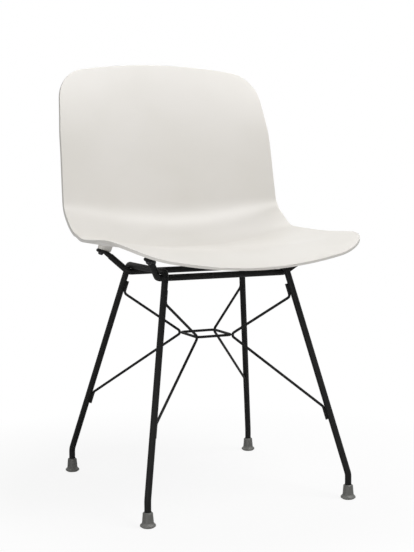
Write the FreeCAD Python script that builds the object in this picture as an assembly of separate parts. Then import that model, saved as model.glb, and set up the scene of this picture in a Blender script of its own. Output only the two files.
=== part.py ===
import FreeCAD, Part
import math
import os

# Moulded plastic shell chair on a bent-rod frame. Sizes in millimetres, angles in degrees.
# The sitter looks along -Y, the sitter's right hand is -X, the floor is z = 0.

# Shell: middle line of the sitter's side, from the front edge over the seat and up the back
front_edge_y = -216.0
front_edge_z = 443.0
front_edge_slope = 28.0
front_roll_radius = 190.0
seat_fall = 2.0
seat_flat_length = 195.6
seat_to_back_radius = 100.0
back_lean_low = 8.0
back_lean_high = 18.0
back_length = 285.5

# Shell: wall, widths and how far the edges stand up from the middle line
wall = 5.5
front_width = 522.0
seat_front_width = 510.0
seat_middle_width = 502.0
seat_rear_width = 466.0
bend_width = 463.0
back_low_width = 459.6
back_high_width = 451.0
top_width = 444.0
dish_front = 33.0
dish_seat_front = 26.5
dish_seat_middle = 25.0
dish_seat_rear = 33.0
dish_bend = 38.0
dish_back_low = 26.0
dish_back_high = 25.4
dish_top = 12.4

# Shell: outline seen from above at the front and from the front at the top
front_trim_y = -222.0
front_edge_bow = 2200.0
front_corner_radius = 85.0
side_bow_radius = 335.0
side_widest_x = 253.0
side_widest_y = -64.0
top_height = 820.0
top_crown_radius = 1060.0
top_corner_radius = 65.0
top_side_x = 224.8
top_side_z = 690.0
top_side_lean = 6.3
trim_reach = 1500.0

# Bosses moulded under the seat, with a blind hole for a threaded insert
boss_length = 27.0
boss_breadth = 20.0
boss_draft = 1.5
boss_offset = 5.0
hole_x = 164.5
hole_y = 125.0
tab_z = 452.5
tab_rise_x = 0.33
tab_rise_y = 0.05

# Steel rod and wire
rod_diameter = 12.0
wire_diameter = 5.0

# Side frames
foot_x = 199.0
foot_front_y = -190.0
foot_rear_y = 225.0
foot_bend_z = 46.0
foot_bend_radius = 30.0
side_run_x = 121.0
side_run_half = 93.0
side_run_z = 427.0
side_run_bend_radius = 12.0

# Crossbars with their arms and flattened tabs
crossbar_y = 74.0
crossbar_corner_x = 129.0
crossbar_bend_radius = 12.0
tab_width = 20.5
tab_thickness = 6.5
tab_flat_length = 12.0
tab_neck_length = 13.0
tab_hole_diameter = 5.6

# Brace wires and the ring between them
brace_high_z = 373.7
brace_low_z = 171.7
brace_stub = 25.0
brace_bend_radius = 7.0
brace_nose_radius = 6.0
ring_half_x = 36.0
ring_front_y = -37.0
ring_rear_y = 42.0
ring_z = 297.0
ring_corner_radius = 9.0

# Screws and threaded inserts
screw_diameter = 5.0
screw_head_diameter = 10.5
screw_head_height = 4.2
screw_grip = 13.0
socket_across = 3.0
socket_depth = 2.2
insert_diameter = 8.0
insert_length = 10.0
insert_collar_diameter = 9.2
insert_collar_height = 1.0
thread_clearance = 0.05
hole_spare_depth = 4.0

# Glides pushed over the rod ends
glide_height = 26.5
glide_top_diameter = 17.8
glide_low_diameter = 20.4
glide_flange_diameter = 27.5
glide_face_diameter = 21.0
glide_flange_height = 7.5
glide_edge_chamfer = 1.4
glide_sole = 5.0
glide_clearance = 0.05


def vec(x, y, z):
    return FreeCAD.Vector(x, y, z)


def unit(v):
    return v * (1.0 / v.Length)


def blend(a, b, t):
    return a + (b - a) * t


def smooth_table(table, s):
    """Value at s on a smooth curve through rows of (place, value), straight beyond the ends."""
    last = len(table) - 1

    def slope(k):
        s0, v0 = table[max(k - 1, 0)]
        s1, v1 = table[min(k + 1, last)]
        return (v1 - v0) / (s1 - s0)

    if s <= table[0][0]:
        return table[0][1] + slope(0) * (s - table[0][0])
    for k in range(last):
        s0, v0 = table[k]
        s1, v1 = table[k + 1]
        if s <= s1:
            run = s1 - s0
            t = (s - s0) / run
            ease = t * t * (3 - 2 * t)
            lead_in = t * (1 - t) * (1 - t) * run * slope(k)
            lead_out = t * t * (t - 1) * run * slope(k + 1)
            return blend(v0, v1, ease) + lead_in + lead_out
    return table[last][1] + slope(last) * (s - table[last][0])


# The middle line is a chain of arcs that meet without a kink: (length, turn in degrees).
roll_turn = front_edge_slope + seat_fall
bend_turn = 90.0 - back_lean_low + seat_fall
lean_turn = back_lean_high - back_lean_low
roll_length = front_roll_radius * math.radians(roll_turn)
bend_length = seat_to_back_radius * math.radians(bend_turn)
s_seat = roll_length
s_bend = s_seat + seat_flat_length
s_back = s_bend + bend_length
s_top = s_back + back_length
pieces = [
    (roll_length, -roll_turn),
    (seat_flat_length, 0.0),
    (bend_length, bend_turn),
    (back_length, -lean_turn),
]


def step_along(y, z, heading, length, turn):
    """Walk an arc in the YZ plane; heading in radians, 0 is straight back."""
    bend = math.radians(turn)
    chord = length
    if abs(bend) > 1e-9:
        chord = length * math.sin(bend / 2) / (bend / 2)
    y = y + chord * math.cos(heading + bend / 2)
    z = z + chord * math.sin(heading + bend / 2)
    return y, z, heading + bend


def middle_line(s):
    """Point and heading at length s; beyond either end the end arc carries on."""
    y = front_edge_y
    z = front_edge_z
    heading = math.radians(front_edge_slope)
    if s < 0:
        return step_along(y, z, heading, s, -roll_turn * s / roll_length)
    for length, turn in pieces[:-1]:
        if s <= length:
            return step_along(y, z, heading, s, turn * s / length)
        y, z, heading = step_along(y, z, heading, length, turn)
        s = s - length
    length, turn = pieces[-1]
    return step_along(y, z, heading, s, turn * s / length)


places = [
    0.0,
    s_seat,
    s_seat + seat_flat_length / 2,
    s_bend,
    s_bend + bend_length / 2,
    s_back,
    s_back + back_length / 2,
    s_top,
]
widths = [
    front_width,
    seat_front_width,
    seat_middle_width,
    seat_rear_width,
    bend_width,
    back_low_width,
    back_high_width,
    top_width,
]
dishes = [
    dish_front,
    dish_seat_front,
    dish_seat_middle,
    dish_seat_rear,
    dish_bend,
    dish_back_low,
    dish_back_high,
    dish_top,
]
half_width_rows = [(s, width / 2) for s, width in zip(places, widths)]
dish_rows = list(zip(places, dishes))


def section(s, inner, outer):
    """Closed section square to the middle line, between two offsets from the sitter's side."""
    y, z, heading = middle_line(s)
    half = smooth_table(half_width_rows, s)
    dish = smooth_table(dish_rows, s)
    radius = (half * half + dish * dish) / (2 * dish)
    spread = math.asin(half / radius)
    toward_y = -math.sin(heading)
    toward_z = math.cos(heading)

    def at(r, angle):
        lift = radius - r * math.cos(angle)
        return vec(r * math.sin(angle), y + toward_y * lift, z + toward_z * lift)

    near = radius + inner
    far = radius + outer
    arc_near = Part.Arc(at(near, -spread), at(near, 0), at(near, spread)).toShape()
    arc_far = Part.Arc(at(far, spread), at(far, 0), at(far, -spread)).toShape()
    side_a = Part.makeLine(at(near, spread), at(far, spread))
    side_b = Part.makeLine(at(far, -spread), at(near, -spread))
    return Part.Wire([arc_near, side_a, arc_far, side_b])


front_spare = 24.0
top_spare = 30.0
stations = [-front_spare, 0.0]
stations += [s_seat * k / 2 for k in (1, 2)]
stations += [s_seat + seat_flat_length * k / 3 for k in (1, 2, 3)]
stations += [s_bend + bend_length * k / 5 for k in (1, 2, 3, 4, 5)]
stations += [s_back + back_length * k / 4 for k in (1, 2, 3, 4)]
stations += [s_top + top_spare]


def skin(inner, outer):
    return Part.makeLoft([section(s, inner, outer) for s in stations], True, False)


def plan_trim():
    """Upright prism with the seat's front outline; it is left wide at the back."""
    # The front edge and each side are arcs; they meet where the two circles cross.
    front_centre = vec(0, front_trim_y + front_edge_bow, 0)
    side_centre = vec(side_widest_x - side_bow_radius, side_widest_y, 0)
    apart = side_centre - front_centre
    along = (front_edge_bow ** 2 - side_bow_radius ** 2 + apart.Length ** 2) / (2 * apart.Length)
    square = math.sqrt(front_edge_bow ** 2 - along ** 2)
    turned = vec(-apart.y, apart.x, 0)
    right = front_centre + unit(apart) * along + unit(turned) * square
    widest = vec(side_widest_x, side_widest_y, 0)
    halfway = unit(unit(right - side_centre) + unit(widest - side_centre))
    bulge = side_centre + halfway * side_bow_radius
    far_x = side_widest_x + trim_reach / 10
    far_front = vec(far_x, side_widest_y + trim_reach / 10, 0)
    far_back = vec(far_x, side_widest_y + trim_reach, 0)

    def other(p):
        return vec(-p.x, p.y, p.z)

    edges = [
        Part.Arc(other(right), vec(0, front_trim_y, 0), right).toShape(),
        Part.Arc(right, bulge, widest).toShape(),
        Part.makeLine(widest, far_front),
        Part.makeLine(far_front, far_back),
        Part.makeLine(far_back, other(far_back)),
        Part.makeLine(other(far_back), other(far_front)),
        Part.makeLine(other(far_front), other(widest)),
        Part.Arc(other(widest), other(bulge), other(right)).toShape(),
    ]
    prism = Part.Face(Part.Wire(edges)).extrude(vec(0, 0, trim_reach))
    corners = [e for e in prism.Edges if upright(e) and abs(e.CenterOfMass.y - right.y) < 0.1]
    return prism.makeFillet(front_corner_radius, corners)


def upright(edge):
    box = edge.BoundBox
    return box.ZLength > 100 and box.XLength < 0.01 and box.YLength < 0.01


def top_trim():
    """Level prism with the back's outline; it is left wide below the back."""
    # Each side is a straight line leaning inward; it meets the crown's circle at the corner.
    lean = math.tan(math.radians(top_side_lean))
    side_x_up = top_side_x + lean * (top_side_z - top_height)
    corner_x = side_x_up
    for k in range(6):
        sag = top_crown_radius - math.sqrt(top_crown_radius ** 2 - corner_x ** 2)
        corner_x = side_x_up + lean * sag
    corner_z = top_height - sag
    start_y = -trim_reach / 2
    drop = trim_reach / 10
    hip_x = corner_x + lean * drop
    hip_z = corner_z - drop
    wide_x = hip_x + drop
    wide_z = hip_z - drop
    low_z = -drop
    edges = [
        Part.Arc(vec(-corner_x, start_y, corner_z), vec(0, start_y, top_height), vec(corner_x, start_y, corner_z)).toShape(),
        Part.makeLine(vec(corner_x, start_y, corner_z), vec(hip_x, start_y, hip_z)),
        Part.makeLine(vec(hip_x, start_y, hip_z), vec(wide_x, start_y, wide_z)),
        Part.makeLine(vec(wide_x, start_y, wide_z), vec(wide_x, start_y, low_z)),
        Part.makeLine(vec(wide_x, start_y, low_z), vec(-wide_x, start_y, low_z)),
        Part.makeLine(vec(-wide_x, start_y, low_z), vec(-wide_x, start_y, wide_z)),
        Part.makeLine(vec(-wide_x, start_y, wide_z), vec(-hip_x, start_y, hip_z)),
        Part.makeLine(vec(-hip_x, start_y, hip_z), vec(-corner_x, start_y, corner_z)),
    ]
    prism = Part.Face(Part.Wire(edges)).extrude(vec(0, trim_reach, 0))
    corners = []
    for e in prism.Edges:
        mid = e.CenterOfMass
        long_y = e.BoundBox.YLength > 100
        if long_y and abs(abs(mid.x) - corner_x) < 0.1 and abs(mid.z - corner_z) < 0.1:
            corners.append(e)
    return prism.makeFillet(top_corner_radius, corners)


# A tab lies on a slightly tilted plane that rises outward. One frame serves tab, screw and boss.
def tab_frame(side, end):
    """Hole centre, the plane's up direction and the way the arm comes in, for one corner."""
    centre = vec(side * hole_x, end * hole_y, tab_z)
    up = unit(vec(-tab_rise_x * side, -tab_rise_y * end, 1))
    corner = vec(side * crossbar_corner_x, end * crossbar_y, tab_z)
    plan = unit(vec(centre.x - corner.x, centre.y - corner.y, 0))
    out = unit(plan - up * plan.dot(up))
    across = up.cross(out)
    return centre, up, out, across


def placed(shape, origin, x_dir, y_dir, z_dir):
    """Move a shape drawn at the origin so that its axes lie along the given ones."""
    m = FreeCAD.Matrix(
        x_dir.x, y_dir.x, z_dir.x, origin.x,
        x_dir.y, y_dir.y, z_dir.y, origin.y,
        x_dir.z, y_dir.z, z_dir.z, origin.z,
        0, 0, 0, 1,
    )
    moved = shape.copy()
    moved.Placement = FreeCAD.Placement(m)
    return moved


def oval_wire(length, breadth, z):
    """Oval with round ends, long side along X."""
    r = breadth / 2
    h = (length - breadth) / 2
    return Part.Wire([
        Part.makeLine(vec(-h, -r, z), vec(h, -r, z)),
        Part.Arc(vec(h, -r, z), vec(h + r, 0, z), vec(h, r, z)).toShape(),
        Part.makeLine(vec(h, r, z), vec(-h, r, z)),
        Part.Arc(vec(-h, r, z), vec(-h - r, 0, z), vec(-h, -r, z)).toShape(),
    ])


def boss_at(side, end, above):
    """Tapered oval boss from the tab's top face up into the shell wall, longer on the inner side."""
    centre, up, out, across = tab_frame(side, end)
    face = centre + up * (tab_thickness / 2)
    probe = Part.makeLine(face, face + up * 120).common(above)
    reach = probe.BoundBox.ZMin - face.z
    height = reach / up.z + 12
    grow = 2 * height * math.tan(math.radians(boss_draft))
    foot = oval_wire(boss_length, boss_breadth, 0)
    root = oval_wire(boss_length + grow, boss_breadth + grow, height)
    body = Part.makeLoft([foot, root], True, True)
    x_dir = unit(vec(1, 0, 0) - up * up.x)
    body = placed(body, face - x_dir * (boss_offset * side), x_dir, up.cross(x_dir), up)
    return body.cut(above)


def insert_pocket(side, end):
    """Stepped blind hole that the insert sits in, with room for the screw's tip."""
    centre, up, out, across = tab_frame(side, end)
    face = centre + up * (tab_thickness / 2)
    collar = Part.makeCylinder(insert_collar_diameter / 2, insert_collar_height, face, up)
    hole = Part.makeCylinder(insert_diameter / 2, insert_length, face, up)
    tip_radius = screw_diameter / 2 + 0.3
    tip = Part.makeCylinder(tip_radius, insert_length + hole_spare_depth, face, up)
    return collar.fuse([hole, tip])


corners = [(side, end) for end in (-1, 1) for side in (-1, 1)]


def make_shell():
    raw = skin(0.0, wall)
    shell = raw.common(plan_trim()).common(top_trim())
    shell = shell.Solids[0]
    above = skin(-30.0, wall / 2)
    bosses = [boss_at(side, end, above) for side, end in corners]
    shell = shell.fuse(bosses)
    shell = shell.cut([insert_pocket(side, end) for side, end in corners])
    return shell


def rod(points, diameter, bend_radius):
    """Round bar along straight runs with round bends; bend_radius may be a list."""
    radii = bend_radius
    if not isinstance(radii, (list, tuple)):
        radii = [bend_radius] * (len(points) - 2)
    solids = []
    start = points[0]
    for here, after, radius in zip(points[1:-1], points[2:], radii):
        way_in = unit(here - start)
        way_out = unit(after - here)
        angle = way_in.getAngle(way_out)
        cut_back = radius * math.tan(angle / 2)
        tangent = here - way_in * cut_back
        normal = way_in.cross(way_out)
        toward = unit(normal.cross(way_in))
        solids.append(Part.makeCylinder(diameter / 2, (tangent - start).Length, start, way_in))
        disc = Part.Face(Part.Wire(Part.makeCircle(diameter / 2, tangent, way_in)))
        bend = disc.revolve(tangent + toward * radius, unit(normal), math.degrees(angle))
        solids.append(bend)
        start = here + way_out * cut_back
    last = unit(points[-1] - start)
    solids.append(Part.makeCylinder(diameter / 2, (points[-1] - start).Length, start, last))
    return solids[0].fuse(solids[1:])


def leg_points(side):
    """One side frame: rear foot, up, along the side run, down to the front foot."""
    x_foot = side * foot_x
    x_top = side * side_run_x
    return [
        vec(x_foot, foot_rear_y, glide_sole),
        vec(x_foot, foot_rear_y, foot_bend_z),
        vec(x_top, side_run_half, side_run_z),
        vec(x_top, -side_run_half, side_run_z),
        vec(x_foot, foot_front_y, foot_bend_z),
        vec(x_foot, foot_front_y, glide_sole),
    ]


def make_leg_frame(side):
    radii = [foot_bend_radius, side_run_bend_radius, side_run_bend_radius, foot_bend_radius]
    return rod(leg_points(side), rod_diameter, radii)


crossbar_z = side_run_z - rod_diameter


def flattened_section(centre, along, up, width, thickness):
    """Section of a rod pressed flat: level top and underside, half-round sides."""
    across = unit(up.cross(along))
    wire = oval_wire(width, thickness, 0)
    return placed(wire, centre, across, unit(along.cross(across)), unit(along))


def round_section(centre, along, up, diameter):
    """Round section in four arcs that match the four edges of the flattened one."""
    across = unit(up.cross(along))
    r = diameter / 2
    d = r * math.sqrt(0.5)
    wire = Part.Wire([
        Part.Arc(vec(-d, -d, 0), vec(0, -r, 0), vec(d, -d, 0)).toShape(),
        Part.Arc(vec(d, -d, 0), vec(r, 0, 0), vec(d, d, 0)).toShape(),
        Part.Arc(vec(d, d, 0), vec(0, r, 0), vec(-d, d, 0)).toShape(),
        Part.Arc(vec(-d, d, 0), vec(-r, 0, 0), vec(-d, -d, 0)).toShape(),
    ])
    return placed(wire, centre, across, unit(along.cross(across)), unit(along))


def tab_knee(end):
    centre, up, out, across = tab_frame(1, end)
    return centre - out * tab_flat_length


def make_tab(end, arm_dir):
    """Pressed-flat end of the left arm, with its rounded tip and screw hole."""
    centre, up, out, across = tab_frame(1, end)
    knee = tab_knee(end)
    start = knee - arm_dir * tab_neck_length
    swell = knee - arm_dir * (tab_neck_length * 0.5)
    middle_width = blend(rod_diameter, tab_width, 0.6)
    middle_thickness = blend(rod_diameter, tab_thickness, 0.6)
    neck = Part.makeLoft([
        round_section(start, arm_dir, up, rod_diameter),
        flattened_section(swell, arm_dir, up, middle_width, middle_thickness),
        flattened_section(knee, unit(arm_dir + out), up, tab_width, tab_thickness),
    ], True, False)
    strip = Part.makeLoft([
        flattened_section(knee, unit(arm_dir + out), up, tab_width, tab_thickness),
        flattened_section(centre, out, up, tab_width, tab_thickness),
    ], True, True)
    t = tab_thickness / 2
    reach = tab_width / 2 - t
    half_section = Part.Wire([
        Part.makeLine(vec(0, -t, 0), vec(reach, -t, 0)),
        Part.Arc(vec(reach, -t, 0), vec(reach + t, 0, 0), vec(reach, t, 0)).toShape(),
        Part.makeLine(vec(reach, t, 0), vec(0, t, 0)),
        Part.makeLine(vec(0, t, 0), vec(0, -t, 0)),
    ])
    tip_face = Part.Face(placed(half_section, centre, across, up, out))
    tip = tip_face.revolve(centre, up * -1, 180)
    hole = Part.makeCylinder(tab_hole_diameter / 2, tab_thickness * 3, centre - up * tab_thickness * 1.5, up)
    return neck.fuse([strip, tip]).cut(hole)


def make_crossbar(end):
    """Half a bar with its arm and tab, then the same half mirrored."""
    knee = tab_knee(end)
    bend = vec(crossbar_corner_x, end * crossbar_y, crossbar_z)
    arm_dir = unit(knee - bend)
    start = knee - arm_dir * tab_neck_length
    bar = rod([vec(0, bend.y, bend.z), bend, start], rod_diameter, [crossbar_bend_radius])
    half = bar.fuse(make_tab(end, arm_dir))
    return half.fuse(half.mirror(vec(0, 0, 0), vec(1, 0, 0))).removeSplitter()


def ring_corner_touch(side, end):
    """Where the ring's round corner comes nearest to the leg, and the way out from there."""
    y_side = ring_front_y if end < 0 else ring_rear_y
    centre = vec(side * (ring_half_x - ring_corner_radius), y_side - end * ring_corner_radius, ring_z)
    outward = unit(vec(side, end, 0))
    return centre + outward * ring_corner_radius, outward


def make_brace(side, end):
    """V of wire: a stub up the leg, down to the ring, back out and a stub down the leg."""
    points = leg_points(side)
    low = points[4] if end < 0 else points[1]
    top = points[3] if end < 0 else points[2]
    up_leg = unit(top - low)
    touch, outward = ring_corner_touch(side, end)
    nose = touch + outward * wire_diameter
    reach = (rod_diameter + wire_diameter) / 2

    def beside(z):
        on_leg = blend(low, top, (z - low.z) / (top.z - low.z))
        way = nose - on_leg
        way = unit(way - up_leg * way.dot(up_leg))
        return on_leg + way * reach

    high_bend = beside(brace_high_z)
    low_bend = beside(brace_low_z)
    half = unit(high_bend - nose).getAngle(unit(low_bend - nose)) / 2
    back = brace_nose_radius * (1 / math.sin(half) - 1)
    middle = unit(unit(high_bend - nose) + unit(low_bend - nose))
    tip = nose - middle * back
    radii = [brace_bend_radius, brace_nose_radius, brace_bend_radius]
    path = [
        high_bend + up_leg * brace_stub,
        high_bend,
        tip,
        low_bend,
        low_bend - up_leg * brace_stub,
    ]
    return rod(path, wire_diameter, radii)


def make_ring():
    """Closed rounded rectangle of wire, drawn as four runs and four corners."""
    x = ring_half_x
    spots = [(x, ring_rear_y), (-x, ring_rear_y), (-x, ring_front_y), (x, ring_front_y)]
    points = [vec(a, b, ring_z) for a, b in spots]
    middle = blend(points[3], points[0], 0.5)
    loop = [middle] + points + [middle]
    return rod(loop, wire_diameter, ring_corner_radius)


def make_glide(x, y):
    """Turned profile of a push-on foot with a blind bore for the rod."""
    top = glide_top_diameter / 2
    low = glide_low_diameter / 2
    flange = glide_flange_diameter / 2
    face = glide_face_diameter / 2
    bore = rod_diameter / 2 + glide_clearance
    neck = glide_flange_height
    soft = glide_edge_chamfer
    outline = [
        (0, 0),
        (face, 0),
        (flange, neck * 0.3),
        (flange, neck * 0.6),
        (low + soft * 0.5, neck),
        (low, neck + soft),
        (top, glide_height - soft),
        (top - soft, glide_height),
        (bore, glide_height),
        (bore, glide_sole),
        (0, glide_sole),
        (0, 0),
    ]
    profile = Part.makePolygon([vec(r, 0, z) for r, z in outline])
    body = Part.Face(profile).revolve(vec(0, 0, 0), vec(0, 0, 1), 360)
    body.translate(vec(x, y, 0))
    return body


def make_insert(side, end):
    """Brass insert: a plain barrel with a thin collar flush with the boss's face."""
    centre, up, out, across = tab_frame(side, end)
    face = centre + up * (tab_thickness / 2)
    barrel = Part.makeCylinder(insert_diameter / 2, insert_length, face, up)
    collar = Part.makeCylinder(insert_collar_diameter / 2, insert_collar_height, face, up)
    bore = Part.makeCylinder(screw_diameter / 2 + thread_clearance, insert_length, face, up)
    return barrel.fuse(collar).cut(bore)


def make_screw(side, end):
    """Round-headed socket screw, its head under the tab and its shank in the insert."""
    centre, up, out, across = tab_frame(side, end)
    under = centre - up * (tab_thickness / 2)
    r = screw_head_diameter / 2
    h = screw_head_height
    outline = [
        (0, 0),
        (r, 0),
        (r, -h * 0.25),
        (r * 0.93, -h * 0.55),
        (r * 0.76, -h * 0.84),
        (r * 0.5, -h),
        (0, -h),
        (0, 0),
    ]
    profile = Part.makePolygon([vec(a, 0, z) for a, z in outline])
    head = Part.Face(profile).revolve(vec(0, 0, 0), vec(0, 0, 1), 360)
    shank = Part.makeCylinder(screw_diameter / 2, screw_grip + 1, vec(0, 0, -1))
    hexagon = []
    for k in range(7):
        a = math.radians(60 * k)
        size = socket_across / math.sqrt(3)
        hexagon.append(vec(size * math.cos(a), size * math.sin(a), -h - 1))
    socket = Part.Face(Part.makePolygon(hexagon)).extrude(vec(0, 0, socket_depth + 1))
    screw = head.fuse(shank).cut(socket)
    return placed(screw, under, out, across, up)


side_names = {-1: "right", 1: "left"}
end_names = {-1: "front", 1: "rear"}
foot_places = {-1: foot_front_y, 1: foot_rear_y}

chair = {}
chair["seat_shell"] = make_shell()
chair["boss_inserts"] = Part.makeCompound([make_insert(side, end) for side, end in corners])
chair["seat_screws"] = Part.makeCompound([make_screw(side, end) for side, end in corners])
chair["centre_ring"] = make_ring()
for side in (-1, 1):
    chair[side_names[side] + "_leg_frame"] = make_leg_frame(side)
chair["rear_crossbar"] = make_crossbar(1)
chair["front_crossbar"] = chair["rear_crossbar"].mirror(vec(0, 0, 0), vec(0, 1, 0))
for side, end in corners:
    corner_name = end_names[end] + "_" + side_names[side]
    chair["brace_" + corner_name] = make_brace(side, end)
    chair["glide_" + corner_name] = make_glide(side * foot_x, foot_places[end])

# The part's origin is the middle of its footprint, on the floor.
whole = Part.makeCompound(list(chair.values())).optimalBoundingBox(True, False)
middle_y = (whole.YMin + whole.YMax) / 2
print("middle_y", round(middle_y, 3), "size", [round(v, 2) for v in (whole.XLength, whole.YLength, whole.ZLength)])

os.makedirs("parts", exist_ok=True)
for name, shape in chair.items():
    shape.translate(vec(0, -middle_y, 0))
    shape.exportStep("parts/" + name + ".step")
    print(name, "solids", len(shape.Solids), "valid", shape.isValid(), "volume", round(shape.Volume, 1))
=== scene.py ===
# %% [markdown]
# A moulded plastic shell chair, dressed for its portrait. The metal frame, the feet and the
# screws come measured from the workshop model. The shell is drawn again here with a finer skin
# and a rounded rim, because a large smooth moulding shows every facet in soft light.

# %% The workshop model comes in
import math
import random

import bmesh
import bpy
from mathutils import Matrix, Vector

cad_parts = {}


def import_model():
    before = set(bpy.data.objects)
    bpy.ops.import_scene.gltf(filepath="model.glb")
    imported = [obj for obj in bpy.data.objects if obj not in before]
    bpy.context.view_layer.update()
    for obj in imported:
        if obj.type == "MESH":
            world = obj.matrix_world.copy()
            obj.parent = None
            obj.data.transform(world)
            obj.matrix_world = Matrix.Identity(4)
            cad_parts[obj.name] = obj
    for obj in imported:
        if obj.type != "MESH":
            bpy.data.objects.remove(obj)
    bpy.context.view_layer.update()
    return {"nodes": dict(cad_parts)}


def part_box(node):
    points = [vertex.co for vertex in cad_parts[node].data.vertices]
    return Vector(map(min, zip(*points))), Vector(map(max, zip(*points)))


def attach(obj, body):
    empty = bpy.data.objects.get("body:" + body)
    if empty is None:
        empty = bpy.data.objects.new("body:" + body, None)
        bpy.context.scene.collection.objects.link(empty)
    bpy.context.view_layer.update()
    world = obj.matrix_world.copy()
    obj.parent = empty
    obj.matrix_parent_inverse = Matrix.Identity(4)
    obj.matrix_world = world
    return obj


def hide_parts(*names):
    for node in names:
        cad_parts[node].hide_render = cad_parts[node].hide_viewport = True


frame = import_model()
MM = 0.001
print("pieces from the workshop model:", sorted(frame["nodes"]))

# %% [markdown]
# Every finish below is a small network of nodes. One helper adds a node with its settings and
# plugs in its links, so that a network reads from top to bottom like a recipe. Colours are
# written as a painter would pick them on a screen and turned to linear light in one place.

# %% Helpers for finishes
def linear(code):
    """A screen colour such as #EDECE6 as linear light, with an alpha of one."""
    values = [int(code[i:i + 2], 16) / 255 for i in (1, 3, 5)]
    bent = [v / 12.92 if v <= 0.04045 else ((v + 0.055) / 1.055) ** 2.4 for v in values]
    return (*bent, 1.0)


def add(tree, kind, settings=None, links=None):
    """Add a node, set its sockets and properties, and link other sockets into it."""
    node = tree.nodes.new(kind)
    for key, value in (settings or {}).items():
        if isinstance(key, int) or key in node.inputs:
            node.inputs[key].default_value = value
        else:
            setattr(node, key, value)
    for key, source in (links or {}).items():
        tree.links.new(source, node.inputs[key])
    return node


def new_finish(name):
    """An empty material and its node tree."""
    finish = bpy.data.materials.new(name)
    finish.use_nodes = True
    finish.node_tree.nodes.clear()
    return finish, finish.node_tree


def ramp(tree, source, low, high, dark, light):
    """A two-stop colour ramp between two places, fed by a value."""
    node = add(tree, "ShaderNodeValToRGB", links={"Fac": source})
    stops = node.color_ramp.elements
    stops[0].position = low
    stops[1].position = high
    stops[0].color = dark
    stops[1].color = light
    return node


# %% [markdown]
# The shell is injection-moulded polypropylene, coloured through in an off-white. The steel mould
# is spark-eroded, which leaves a very fine matt grain, so the eye sees a soft, wide highlight and
# no mirror. Polypropylene reflects like most plastics, with an index near 1.49. Such a grain is
# usually about 0.4 mm; it is drawn at 0.9 mm, because anything finer is lost at this distance.

# %% Off-white moulded polypropylene
SHELL_COLOUR = "#DFDCD7"
SHELL_SHADE = "#DBD8D2"
GRAIN_MM = 0.9
FLOW_MM = 160.0


def moulded_polypropylene():
    finish, tree = new_finish("moulded_polypropylene")
    place = add(tree, "ShaderNodeTexCoord")
    flow = add(tree, "ShaderNodeTexNoise",
               {"Scale": 1 / (FLOW_MM * MM), "Detail": 2.0, "Roughness": 0.5},
               {"Vector": place.outputs["Object"]})
    tint = ramp(tree, flow.outputs["Fac"], 0.35, 0.65, linear(SHELL_SHADE), linear(SHELL_COLOUR))
    grain = add(tree, "ShaderNodeTexNoise",
                {"Scale": 1 / (GRAIN_MM * MM), "Detail": 3.0, "Roughness": 0.6},
                {"Vector": place.outputs["Object"]})
    bump = add(tree, "ShaderNodeBump", {"Strength": 0.12, "Distance": 0.03 * MM},
               {"Height": grain.outputs["Fac"]})
    rough = add(tree, "ShaderNodeMapRange",
                {"From Min": 0.3, "From Max": 0.7, "To Min": 0.38, "To Max": 0.48},
                {"Value": grain.outputs["Fac"]})
    plastic = add(tree, "ShaderNodeBsdfPrincipled",
                  {"IOR": 1.49, "Specular IOR Level": 0.5},
                  {"Base Color": tint.outputs["Color"], "Roughness": rough.outputs["Result"],
                   "Normal": bump.outputs["Normal"]})
    add(tree, "ShaderNodeOutputMaterial", links={"Surface": plastic.outputs["BSDF"]})
    return finish


shell_plastic = moulded_polypropylene()
print("finish:", shell_plastic.name)

# %% [markdown]
# The frame is steel rod with a black powder coat. The powder melts into a skin with a faint
# orange-peel, about 1.5 mm from hill to hill, and a satin sheen. The eye sees near-black with a
# soft light line along each rod.

# %% Black powder coat on steel rod
COAT_COLOUR = "#121212"
COAT_WORN = "#181817"
PEEL_MM = 1.5
CLOUD_MM = 40


def black_powder_coat():
    finish, tree = new_finish("black_powder_coat")
    place = add(tree, "ShaderNodeTexCoord")
    peel = add(tree, "ShaderNodeTexNoise",
               {"Scale": 1 / (PEEL_MM * MM), "Detail": 1.0, "Roughness": 0.4},
               {"Vector": place.outputs["Object"]})
    cloud = add(tree, "ShaderNodeTexNoise",
                {"Scale": 1 / (CLOUD_MM * MM), "Detail": 2.0},
                {"Vector": place.outputs["Object"]})
    tint = ramp(tree, cloud.outputs["Fac"], 0.4, 0.65, linear(COAT_COLOUR), linear(COAT_WORN))
    bump = add(tree, "ShaderNodeBump", {"Strength": 0.25, "Distance": 0.05 * MM},
               {"Height": peel.outputs["Fac"]})
    rough = add(tree, "ShaderNodeMapRange",
                {"From Min": 0.3, "From Max": 0.7, "To Min": 0.48, "To Max": 0.6},
                {"Value": cloud.outputs["Fac"]})
    coat = add(tree, "ShaderNodeBsdfPrincipled", {"IOR": 1.5, "Specular IOR Level": 0.15},
               {"Base Color": tint.outputs["Color"], "Roughness": rough.outputs["Result"],
                "Normal": bump.outputs["Normal"]})
    add(tree, "ShaderNodeOutputMaterial", links={"Surface": coat.outputs["BSDF"]})
    return finish


frame_coat = black_powder_coat()
print("finish:", frame_coat.name)

# %% [markdown]
# The feet are pushed-on glides of mid-grey polyethylene. It is a waxy plastic, softer in its
# shine than the shell, and the flange that slides on the floor picks up a paler, scuffed edge.

# %% Grey glide plastic
GLIDE_COLOUR = "#5C5C59"
GLIDE_SCUFF = "#70706D"
SPECK_MM = 1.2
SCUFF_TOP = 0.006
SCUFF_FADE = 0.004


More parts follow.
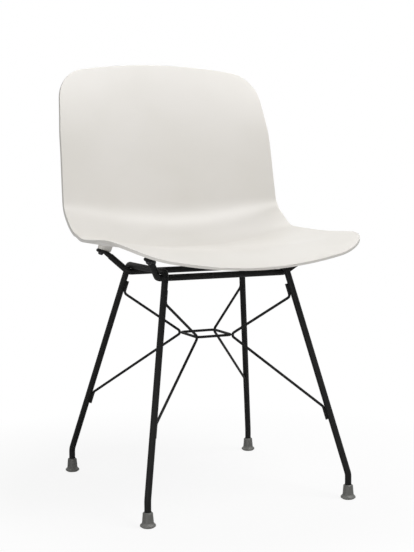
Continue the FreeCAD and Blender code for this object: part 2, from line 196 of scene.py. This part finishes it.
def grey_polyethylene():
    finish, tree = new_finish("grey_polyethylene")
    place = add(tree, "ShaderNodeTexCoord")
    speck = add(tree, "ShaderNodeTexNoise", {"Scale": 1 / (SPECK_MM * MM), "Detail": 2.0},
                {"Vector": place.outputs["Object"]})
    split = add(tree, "ShaderNodeSeparateXYZ", links={"Vector": place.outputs["Object"]})
    worn = add(tree, "ShaderNodeMapRange",
               {"From Min": SCUFF_TOP, "From Max": SCUFF_TOP + SCUFF_FADE,
                "To Min": 1.0, "To Max": 0.0},
               {"Value": split.outputs["Z"]})
    patch = add(tree, "ShaderNodeMath", {"operation": "MULTIPLY"},
                {0: worn.outputs["Result"], 1: speck.outputs["Fac"]})
    tint = ramp(tree, patch.outputs["Value"], 0.0, 0.6, linear(GLIDE_COLOUR), linear(GLIDE_SCUFF))
    bump = add(tree, "ShaderNodeBump", {"Strength": 0.2, "Distance": 0.05 * MM},
               {"Height": speck.outputs["Fac"]})
    rough = add(tree, "ShaderNodeMapRange", {"To Min": 0.45, "To Max": 0.6},
                {"Value": patch.outputs["Value"]})
    plastic = add(tree, "ShaderNodeBsdfPrincipled", {"IOR": 1.51},
                  {"Base Color": tint.outputs["Color"], "Roughness": rough.outputs["Result"],
                   "Normal": bump.outputs["Normal"]})
    add(tree, "ShaderNodeOutputMaterial", links={"Surface": plastic.outputs["BSDF"]})
    return finish


glide_plastic = grey_polyethylene()
print("finish:", glide_plastic.name)

# %% [markdown]
# The screws are blackened steel, a thin oxide over bright metal, and the inserts in the bosses
# are turned brass. Both are metals, so the colour tints the reflection itself.

# %% Blackened steel and turned brass
def plain_metal(name, colour, low, high, line_mm):
    finish, tree = new_finish(name)
    place = add(tree, "ShaderNodeTexCoord")
    lines = add(tree, "ShaderNodeTexNoise", {"Scale": 1 / (line_mm * MM), "Detail": 3.0},
                {"Vector": place.outputs["Object"]})
    rough = add(tree, "ShaderNodeMapRange", {"To Min": low, "To Max": high},
                {"Value": lines.outputs["Fac"]})
    metal = add(tree, "ShaderNodeBsdfPrincipled", {"Metallic": 1.0, "Base Color": linear(colour)},
                {"Roughness": rough.outputs["Result"]})
    add(tree, "ShaderNodeOutputMaterial", links={"Surface": metal.outputs["BSDF"]})
    return finish


screw_steel = plain_metal("blackened_steel", "#3A3A3C", 0.28, 0.42, 0.8)
insert_brass = plain_metal("turned_brass", "#C9A35A", 0.2, 0.35, 0.6)
print("finishes:", screw_steel.name, insert_brass.name)

# %% [markdown]
# The rods, wires, feet and screws are already the right shape, so they keep their own meshes and
# only receive a finish, chosen by name.

# %% Finishes on the workshop pieces
def finish_for(name):
    if name.startswith("glide"):
        return glide_plastic
    if name == "seat_screws":
        return screw_steel
    if name == "boss_inserts":
        return insert_brass
    if name == "seat_shell":
        return shell_plastic
    return frame_coat


for name, piece in frame["nodes"].items():
    piece.data.materials.clear()
    piece.data.materials.append(finish_for(name))

# %% [markdown]
# The shell's form is one line and a set of cross-sections. The line runs up the middle of the
# sitter's side: a rolled front edge, a nearly flat seat, the bend, and a back that leans further
# as it rises. Each cross-section is an arc, dished so that its edges stand up toward the sitter.
# The same few sizes as in the workshop model drive it, in millimetres.

# %% The shell's driving sizes
front_edge = (-216.0, 443.0)
front_edge_slope = 28.0
front_roll_radius = 190.0
seat_fall = 2.0
seat_flat_length = 195.6
seat_to_back_radius = 100.0
back_lean = (8.0, 18.0)
back_length = 285.5
wall = 5.5
half_widths = [261.0, 255.0, 251.0, 233.0, 231.5, 229.8, 225.5, 222.0]
dishes = [33.0, 26.5, 25.0, 33.0, 38.0, 26.0, 25.4, 12.4]

roll_turn = front_edge_slope + seat_fall
bend_turn = 90.0 - back_lean[0] + seat_fall
lean_turn = back_lean[1] - back_lean[0]
roll_length = front_roll_radius * math.radians(roll_turn)
bend_length = seat_to_back_radius * math.radians(bend_turn)
s_seat = roll_length
s_bend = s_seat + seat_flat_length
s_back = s_bend + bend_length
s_top = s_back + back_length
stations = [0.0, s_seat, s_seat + seat_flat_length / 2, s_bend,
            s_bend + bend_length / 2, s_back, s_back + back_length / 2, s_top]
print("length over the middle line, mm:", round(s_top))


# %% The middle line and the cross-section
def smooth(values, s):
    """Value at s on a smooth curve through the values at the stations."""
    last = len(stations) - 1

    def slope(k):
        low, high = max(k - 1, 0), min(k + 1, last)
        return (values[high] - values[low]) / (stations[high] - stations[low])

    if s <= stations[0]:
        return values[0] + slope(0) * (s - stations[0])
    if s >= stations[last]:
        return values[last] + slope(last) * (s - stations[last])
    k = max(i for i in range(last) if stations[i] <= s)
    run = stations[k + 1] - stations[k]
    t = (s - stations[k]) / run
    step = values[k] + (values[k + 1] - values[k]) * t * t * (3 - 2 * t)
    lead = t * (1 - t) ** 2 * slope(k) - t * t * (1 - t) * slope(k + 1)
    return step + run * lead


def along(y, z, heading, length, turn):
    """Walk an arc of this length and turn in the upright middle plane."""
    bend = math.radians(turn)
    chord = length
    if abs(bend) > 1e-9:
        chord = length * math.sin(bend / 2) / (bend / 2)
    middle = heading + bend / 2
    return y + chord * math.cos(middle), z + chord * math.sin(middle), heading + bend


def middle_line(s):
    """Point and heading at length s; the end arcs carry on beyond both ends."""
    y, z = front_edge
    heading = math.radians(front_edge_slope)
    runs = [(roll_length, -roll_turn), (seat_flat_length, 0.0), (bend_length, bend_turn)]
    if s < 0:
        return along(y, z, heading, s, -roll_turn * s / roll_length)
    for length, turn in runs:
        if s <= length:
            return along(y, z, heading, s, turn * s / length)
        y, z, heading = along(y, z, heading, length, turn)
        s -= length
    return along(y, z, heading, s, -lean_turn * s / back_length)


def sitter_side(x, s):
    """Point of the sitter's side at distance x from the middle and length s, in millimetres."""
    y, z, heading = middle_line(s)
    half = smooth(half_widths, s)
    dish = smooth(dishes, s)
    radius = (half * half + dish * dish) / (2 * dish)
    lift = radius - math.sqrt(max(radius * radius - x * x, 0.0))
    return x, y - math.sin(heading) * lift, z + math.cos(heading) * lift


# %% [markdown]
# The moulding's outline is cut by two plain shapes. Seen from above, the seat has a bowed front
# edge and bowed sides with round corners between them. Seen from the front, the back has a crowned
# top, straight sides that lean inward, and round corners again. Between the two, the sides follow
# the width of the cross-sections.

# %% The shell's outline
front_trim_y = -222.0
front_bow = 2200.0
front_corner = 85.0
side_bow = 335.0
side_widest = (253.0, -64.0)
top_height = 820.0
top_crown = 1060.0
top_corner = 65.0
top_side = (224.8, 690.0)
top_side_lean = 6.3
straight_side = 90.0
LONG_ARC = 40
SHORT_ARC = 24

# the search for a place along the middle line may run this far past either end
past_front = -30.0
past_top = 50.0
HALVINGS = 40


def arc(centre, radius, start, end, count):
    """Points of an arc in two dimensions; the angles are in radians from the first axis."""
    turns = [start + (end - start) * k / count for k in range(count + 1)]
    return [centre + Vector((math.cos(a), math.sin(a))) * radius for a in turns]


def heading_of(v):
    return math.atan2(v.y, v.x)


def seat_outline():
    """Half of the outline seen from above, from the middle of the front edge to the widest point."""
    front_centre = Vector((0, front_trim_y + front_bow))
    side_centre = Vector((side_widest[0] - side_bow, side_widest[1]))
    # the corner's circle lies inside both larger ones and touches them
    a, b = front_bow - front_corner, side_bow - front_corner
    gap = side_centre - front_centre
    reach = (a * a - b * b + gap.length_squared) / (2 * gap.length)
    square = math.sqrt(a * a - reach * reach)
    corner = front_centre + gap.normalized() * reach
    corner += Vector((-gap.y, gap.x)).normalized() * square
    first = heading_of(corner - front_centre)
    second = heading_of(corner - side_centre)
    front = arc(front_centre, front_bow, -math.pi / 2, first, LONG_ARC)
    round_part = arc(corner, front_corner, first, second, SHORT_ARC)
    side = arc(side_centre, side_bow, second, 0.0, SHORT_ARC)
    return front, round_part, side


def back_outline():
    """Half of the outline seen from the front, from the side up to the middle of the top."""
    lean = math.radians(top_side_lean)
    outward = Vector((math.cos(lean), math.sin(lean)))
    upward = Vector((-outward.y, outward.x))
    crown = Vector((0, top_height - top_crown))
    inset = outward.dot(Vector(top_side)) - top_corner
    foot = inset - outward.dot(crown)
    climb = math.sqrt((top_crown - top_corner) ** 2 - foot * foot)
    corner = crown + outward * foot + upward * climb
    last = heading_of(corner - crown)
    rim = corner + outward * top_corner
    side = [rim - upward * (straight_side * (1 - k / SHORT_ARC)) for k in range(SHORT_ARC + 1)]
    round_part = arc(corner, top_corner, lean, last, SHORT_ARC)
    top = arc(crown, top_crown, last, math.pi / 2, LONG_ARC)
    return side, round_part, top


def station_where(x, value, axis, low, high):
    """The length s at which the sitter's side, at this x, reaches a value of y (1) or z (2)."""
    for _ in range(HALVINGS):
        middle = (low + high) / 2
        if sitter_side(x, middle)[axis] < value:
            low = middle
        else:
            high = middle
    return (low + high) / 2


def seat_spots(points):
    return [(p.x, station_where(p.x, p.y, 1, past_front, s_bend)) for p in points]


def back_spots(points):
    return [(p.x, station_where(p.x, p.y, 2, s_back, s_top + past_top)) for p in points]


# %% [markdown]
# A sheet with round corners still wants to be a clean grid of four-sided faces. The grid is
# stretched between its four edges: the front edge and top edge as far as the middle of each round
# corner, and the two sides in between. The wall thickness and the rounded rim come from
# modifiers, so the sheet stays simple.

# %% The shell as a fine sheet
COLUMNS = 96
ROWS = 160
JOIN_STEPS = 120
EASE_PASSES = 6

shell_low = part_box("seat_shell")[0]
shift_y = shell_low.y - front_trim_y * MM
print("the model's origin is moved back by mm:", round(-shift_y / MM, 2))


def world(x, y, z):
    """A point in the chair's own millimetres as a point in the scene."""
    return Vector((x * MM, y * MM + shift_y, z * MM))


def evenly(spots, count):
    """The same chain of (x, s) spots with even steps."""
    chain = [Vector(spot) for spot in spots]
    lengths = [0.0]
    for a, b in zip(chain, chain[1:]):
        lengths.append(lengths[-1] + (b - a).length)
    result = []
    k = 0
    for i in range(count + 1):
        want = lengths[-1] * i / count
        while k < len(chain) - 2 and lengths[k + 1] < want:
            k += 1
        span = max(lengths[k + 1] - lengths[k], 1e-9)
        result.append(chain[k].lerp(chain[k + 1], min(max((want - lengths[k]) / span, 0.0), 1.0)))
    return result


def eased_chain(chain, passes):
    """Soften small kinks where two stretches of an edge meet; the ends stay."""
    for _ in range(passes):
        inner = [(a + b * 2 + c) / 4 for a, b, c in zip(chain, chain[1:], chain[2:])]
        chain = [chain[0]] + inner + [chain[-1]]
    return chain


def sheet_edges():
    """The front edge, the side and the top edge as even chains of (x, s) on the sitter's side."""
    front, front_round, side_low = [seat_spots(part) for part in seat_outline()]
    side_high, top_round, top = [back_spots(part) for part in back_outline()]
    half = len(front_round) // 2
    low = [p for p in side_low if p[0] <= smooth(half_widths, p[1])]
    high = [p for p in side_high if p[0] <= smooth(half_widths, p[1])]
    start, end = low[-1][1], high[0][1]
    between = [start + (end - start) * k / JOIN_STEPS for k in range(1, JOIN_STEPS)]
    side = front_round[half:] + low[1:]
    side += [(smooth(half_widths, s), s) for s in between]
    side += high + top_round[1:half + 1]
    half_front = evenly(front + front_round[1:half + 1], COLUMNS // 2)
    half_top = evenly(top_round[half:] + top[1:], COLUMNS // 2)
    return half_front, eased_chain(evenly(side, ROWS), EASE_PASSES), half_top[::-1]


def mirrored(half_edge):
    return [Vector((-p.x, p.y)) for p in half_edge[:0:-1]] + half_edge


def sheet_points():
    """A grid stretched between the four edges, row by row from the front to the top."""
    half_front, side, half_top = sheet_edges()
    front, top = mirrored(half_front), mirrored(half_top)
    rows = []
    for j in range(ROWS + 1):
        v = j / ROWS
        right = side[j]
        left = Vector((-right.x, right.y))
        row = []
        for i in range(COLUMNS + 1):
            u = i / COLUMNS
            across = left.lerp(right, u)
            upward = front[i].lerp(top[i], v)
            corners = front[0].lerp(front[-1], u).lerp(top[0].lerp(top[-1], u), v)
            x, s = across + upward - corners
            row.append(world(*sitter_side(x, s)))
        rows.append(row)
    return rows


def grid_mesh(name, rows):
    mesh = bpy.data.meshes.new(name)
    flat = [p for row in rows for p in row]
    wide = len(rows[0])
    faces = []
    for j in range(len(rows) - 1):
        for i in range(wide - 1):
            a = j * wide + i
            faces.append((a, a + 1, a + wide + 1, a + wide))
    mesh.from_pydata([tuple(p) for p in flat], [], faces)
    mesh.shade_smooth()
    return mesh


def show(name, mesh, finish):
    """Put a mesh on stage as a piece of the chair that rides with the frame."""
    piece = bpy.data.objects.new(name, mesh)
    bpy.context.scene.collection.objects.link(piece)
    mesh.materials.append(finish)
    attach(piece, "root")
    return piece


rim_round = 1.8
shell_mesh = grid_mesh("moulded_shell", sheet_points())
shell = show("moulded_shell", shell_mesh, shell_plastic)
thick = shell.modifiers.new("wall", "SOLIDIFY")
thick.thickness = wall * MM
thick.offset = -1.0
thick.use_even_offset = True
rim = shell.modifiers.new("rim", "BEVEL")
rim.width = rim_round * MM
rim.segments = 4
rim.limit_method = "ANGLE"
rim.angle_limit = math.radians(50)
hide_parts("seat_shell")
print("shell sheet faces:", len(shell.data.polygons))

# %% [markdown]
# Four bosses are moulded under the seat, one over each flattened rod end. Each is an oval block
# with a little draft, so that it leaves the mould, and a small round where it meets the seat.
# A boss is drawn as rings: up the outside to just inside the wall, and down the bore that holds
# the brass insert.

# %% Bosses under the seat
hole_place = (164.5, 125.0, 452.5)
tab_rise = (0.33, 0.05)
tab_thickness = 6.5
boss_size = (27.0, 20.0)
boss_draft = math.radians(1.5)
boss_offset = 5.0
root_round = 3.0
boss_tallest = 70.0
boss_sink = 0.45
boss_edge_turn = math.radians(40)
BOSS_HALVINGS = 30
FLARE_STEPS = 8
bore_steps = [(4.6, 0.0), (4.6, 1.0), (4.0, 1.0), (4.0, 10.0), (2.8, 10.0), (2.8, 14.0)]
RING = 64


def under_seat(spot):
    """How far, straight up, the sitter's side lies above a spot under the seat."""
    s = station_where(spot.x, spot.y, 1, past_front, s_back)
    return sitter_side(spot.x, s)[2] - spot.z


def boss_mesh(name, side, end):
    up = Vector((-tab_rise[0] * side, -tab_rise[1] * end, 1)).normalized()
    hole = Vector((side * hole_place[0], end * hole_place[1], hole_place[2]))
    face = hole + up * (tab_thickness / 2)
    across = (Vector((1, 0, 0)) - up * up.x).normalized()
    beyond = up.cross(across)
    middle = face - across * (boss_offset * side)

    def oval(k, grow, height):
        angle = 2 * math.pi * k / RING
        half = (boss_size[0] - boss_size[1]) / 2
        r = boss_size[1] / 2 + grow
        x = r * math.cos(angle) + math.copysign(half, math.cos(angle))
        return middle + across * x + beyond * (r * math.sin(angle)) + up * height

    rings = []
    for k in range(RING):
        low, high = 0.0, boss_tallest
        for _ in range(BOSS_HALVINGS):
            mid = (low + high) / 2
            deep = under_seat(oval(k, mid * math.tan(boss_draft), mid)) > wall * boss_sink
            low, high = (mid, high) if deep else (low, mid)
        top = low
        chain = [oval(k, -0.7, 0.0), oval(k, -0.2, 0.2), oval(k, 0.0, 0.7)]
        for step in range(FLARE_STEPS + 1):
            height = max(top - wall - root_round * (1.4 - step / 5), 0.9 + step * 0.05)
            flare = root_round * (step / FLARE_STEPS) ** 2.6
            chain.append(oval(k, height * math.tan(boss_draft) + flare, height))
        chain.append(oval(k, top * math.tan(boss_draft) + root_round, top))
        rings.append(chain)
    mesh = bpy.data.meshes.new(name)
    build = bmesh.new()
    outside = [[build.verts.new(world(*p)) for p in chain] for chain in rings]
    inside = []
    for k in range(RING):
        angle = 2 * math.pi * k / RING
        ray = across * math.cos(angle) + beyond * math.sin(angle)
        inside.append([build.verts.new(world(*(face + ray * r + up * h))) for r, h in bore_steps])
    for k in range(RING):
        a, b = outside[k - 1], outside[k]
        c, d = inside[k - 1], inside[k]
        for i in range(len(a) - 1):
            build.faces.new((a[i], b[i], b[i + 1], a[i + 1]))
        for i in range(len(c) - 1):
            build.faces.new((c[i], c[i + 1], d[i + 1], d[i]))
        build.faces.new((a[0], c[0], d[0], b[0]))
    build.faces.new([chain[-1] for chain in outside])
    build.faces.new([chain[-1] for chain in inside][::-1])
    bmesh.ops.recalc_face_normals(build, faces=build.faces)
    for polygon in build.faces:
        polygon.smooth = True
    for edge in build.edges:
        if len(edge.link_faces) == 2 and edge.calc_face_angle(0) > boss_edge_turn:
            edge.smooth = False
    build.to_mesh(mesh)
    build.free()
    return mesh


side_names = {-1: "right", 1: "left"}
end_names = {-1: "front", 1: "rear"}
for side in (-1, 1):
    for end in (-1, 1):
        name = "shell_boss_" + end_names[end] + "_" + side_names[side]
        boss = show(name, boss_mesh(name, side, end), shell_plastic)
        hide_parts("seat_shell")

# %% [markdown]
# The wires are welded to the legs along the last stretch of each end. A weld leaves a thin bead in
# the groove on either side, a little uneven because it is laid by hand, and the powder coat runs
# over it. Each bead is a short curve with a round section that swells and thins along its run.
# The photograph doesn't show the beads clearly, so their size is a guess.

# %% Weld beads beside the wire ends
foot_x, foot_front_y, foot_rear_y, foot_bend_z = 199.0, -190.0, 225.0, 46.0
side_run = (121.0, 93.0, 427.0)
ring_half_x, ring_z, ring_corner = 36.0, 297.0, 9.0
ring_y = {-1: -37.0, 1: 42.0}
rod_radius, wire_radius = 6.0, 2.5
brace_heights = {1: 373.7, -1: 171.7}
bead_radius, bead_start, bead_length = 1.3, 4.0, 18.0
bead_lift, bead_aside = 0.3, 2.4
BEAD_STEPS = 8
rng = random.Random(7)


def bead_lines(side, end):
    """The two beads at each of the two wire ends on one leg."""
    low = Vector((side * foot_x, foot_front_y if end < 0 else foot_rear_y, foot_bend_z))
    top = Vector((side * side_run[0], end * side_run[1], side_run[2]))
    up_leg = (top - low).normalized()
    outward = Vector((side, end, 0)).normalized()
    corner = Vector((side * (ring_half_x - ring_corner), ring_y[end] - end * ring_corner, ring_z))
    nose = corner + outward * (ring_corner + 2 * wire_radius)
    lines = []
    for way_along, height in brace_heights.items():
        on_leg = low.lerp(top, (height - low.z) / (top.z - low.z))
        toward = nose - on_leg
        toward = (toward - up_leg * toward.dot(up_leg)).normalized()
        beside = up_leg.cross(toward)
        for hand in (-1, 1):
            groove = on_leg + toward * (rod_radius + bead_lift) + beside * (hand * bead_aside)
            lines.append([groove + up_leg * way_along * (bead_start + bead_length * k / BEAD_STEPS)
                          for k in range(BEAD_STEPS + 1)])
    return lines


beads = bpy.data.curves.new("weld_beads", "CURVE")
beads.dimensions = "3D"
beads.bevel_depth = bead_radius * MM
beads.bevel_resolution = 3
beads.use_fill_caps = True
for side in (-1, 1):
    for end in (-1, 1):
        for line in bead_lines(side, end):
            spline = beads.splines.new("NURBS")
            spline.points.add(len(line) - 1)
            for k, (point, spot) in enumerate(zip(spline.points, line)):
                point.co = (*world(*spot), 1.0)
                fade = math.sin(math.pi * (k + 0.7) / (len(line) + 0.4))
                point.radius = 0.35 + 0.6 * fade + rng.uniform(-0.08, 0.08)
            spline.order_u = 3
            spline.use_endpoint_u = True
weld = bpy.data.objects.new("weld_beads", beads)
bpy.context.scene.collection.objects.link(weld)
beads.materials.append(frame_coat)
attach(weld, "root")
print("weld beads:", len(beads.splines))

# %% [markdown]
# The chair stands on a plain pale floor in an evenly lit white room. A large soft lamp hangs above
# and in front, a weaker one hangs behind for the front lip, and a low one at the left opens up the
# underside. The floor shows white to the camera and keeps a little of the chair's shadow, which
# fades out with distance.

# %% Floor and room
FLOOR_COLOUR = "#FAFAFA"
SHADOW_KEPT = 0.12
SHADOW_NEAR = 0.35
SHADOW_FAR = 0.75


def studio_floor():
    finish, tree = new_finish("studio_floor")
    place = add(tree, "ShaderNodeTexCoord")
    away = add(tree, "ShaderNodeVectorMath", {"operation": "LENGTH"},
               {0: place.outputs["Object"]})
    kept = add(tree, "ShaderNodeMapRange",
               {"From Min": SHADOW_NEAR, "From Max": SHADOW_FAR,
                "To Min": 1 - SHADOW_KEPT, "To Max": 1.0},
               {"Value": away.outputs["Value"]})
    ray = add(tree, "ShaderNodeLightPath")
    seen = add(tree, "ShaderNodeMath", {"operation": "MULTIPLY"},
               {0: ray.outputs["Is Camera Ray"], 1: kept.outputs["Result"]})
    paper = add(tree, "ShaderNodeBsdfDiffuse", {"Color": linear(FLOOR_COLOUR)})
    white = add(tree, "ShaderNodeEmission", {"Color": (1, 1, 1, 1), "Strength": 1.0})
    mixed = add(tree, "ShaderNodeMixShader", links={
        0: seen.outputs["Value"], 1: paper.outputs["BSDF"], 2: white.outputs["Emission"]})
    add(tree, "ShaderNodeOutputMaterial", links={"Surface": mixed.outputs["Shader"]})
    return finish


floor_mesh = bpy.data.meshes.new("floor")
reach = 12.0
floor_corners = [(-reach, -reach, 0), (reach, -reach, 0), (reach, reach, 0), (-reach, reach, 0)]
floor_mesh.from_pydata(floor_corners, [], [(0, 1, 2, 3)])
floor = bpy.data.objects.new("floor", floor_mesh)
bpy.context.scene.collection.objects.link(floor)
floor_mesh.materials.append(studio_floor())

ROOM_LIGHT = 0.14
room = bpy.data.worlds.new("studio")
bpy.context.scene.world = room
room.use_nodes = True
room.node_tree.nodes.clear()
tree = room.node_tree
ray = add(tree, "ShaderNodeLightPath")
seen = add(tree, "ShaderNodeMath", {"operation": "MAXIMUM"},
           {0: ray.outputs["Is Camera Ray"], 1: ray.outputs["Is Glossy Ray"]})
level = add(tree, "ShaderNodeMapRange", {"To Min": ROOM_LIGHT, "To Max": 1.0},
            {"Value": seen.outputs["Value"]})
air = add(tree, "ShaderNodeBackground", {"Color": (1, 1, 1, 1)},
          {"Strength": level.outputs["Result"]})
add(tree, "ShaderNodeOutputWorld", links={"Surface": air.outputs["Background"]})


# %% Lamps
def soft_light(name, place, target, size, watts):
    data = bpy.data.lights.new(name, "AREA")
    data.shape = "RECTANGLE"
    data.size, data.size_y = size
    data.energy = watts
    lamp = bpy.data.objects.new(name, data)
    lamp.location = place
    aim = Vector(target) - Vector(place)
    lamp.rotation_euler = aim.to_track_quat("-Z", "Y").to_euler()
    bpy.context.scene.collection.objects.link(lamp)


soft_light("key", (0.8, -1.1, 2.5), (0, 0, 0.6), (1.2, 0.9), 42)
soft_light("top", (0.15, 0.85, 2.3), (0, 0, 0.45), (1.4, 0.6), 13)
soft_light("low_fill", (-1.6, -1.6, 0.45), (0, 0, 0.45), (1.4, 0.8), 13)

# %% [markdown]
# The camera stands where the photographer's did, as far as the lines of the picture tell: to the
# sitter's right, 2.2 m away and 0.62 m above the floor, looking slightly down. The lens follows
# from the picture's frame.

# %% Camera
eye = (-920.3, -2027.9, 619.8)
turned = math.radians(-24.46)
tilted = math.radians(5.46)
rolled = math.radians(-0.46)
focal_px = 1180.7
picture_height_px = 552

ahead = Vector((-math.sin(turned) * math.cos(tilted),
                math.cos(turned) * math.cos(tilted),
                -math.sin(tilted)))
level_right = Vector((math.cos(turned), math.sin(turned), 0))
level_up = level_right.cross(ahead)
right = level_right * math.cos(rolled) + level_up * math.sin(rolled)
up = level_up * math.cos(rolled) - level_right * math.sin(rolled)

lens = bpy.data.cameras.new("camera")
lens.sensor_width = 36.0
lens.lens = focal_px * lens.sensor_width / picture_height_px
camera = bpy.data.objects.new("camera", lens)
turn = Matrix((right, up, -ahead)).transposed()
camera.matrix_world = Matrix.Translation(world(*eye)) @ turn.to_4x4()
bpy.context.scene.collection.objects.link(camera)
bpy.context.scene.camera = camera
bpy.context.scene.view_settings.view_transform = "Standard"
print("lens, mm:", round(lens.lens, 1))
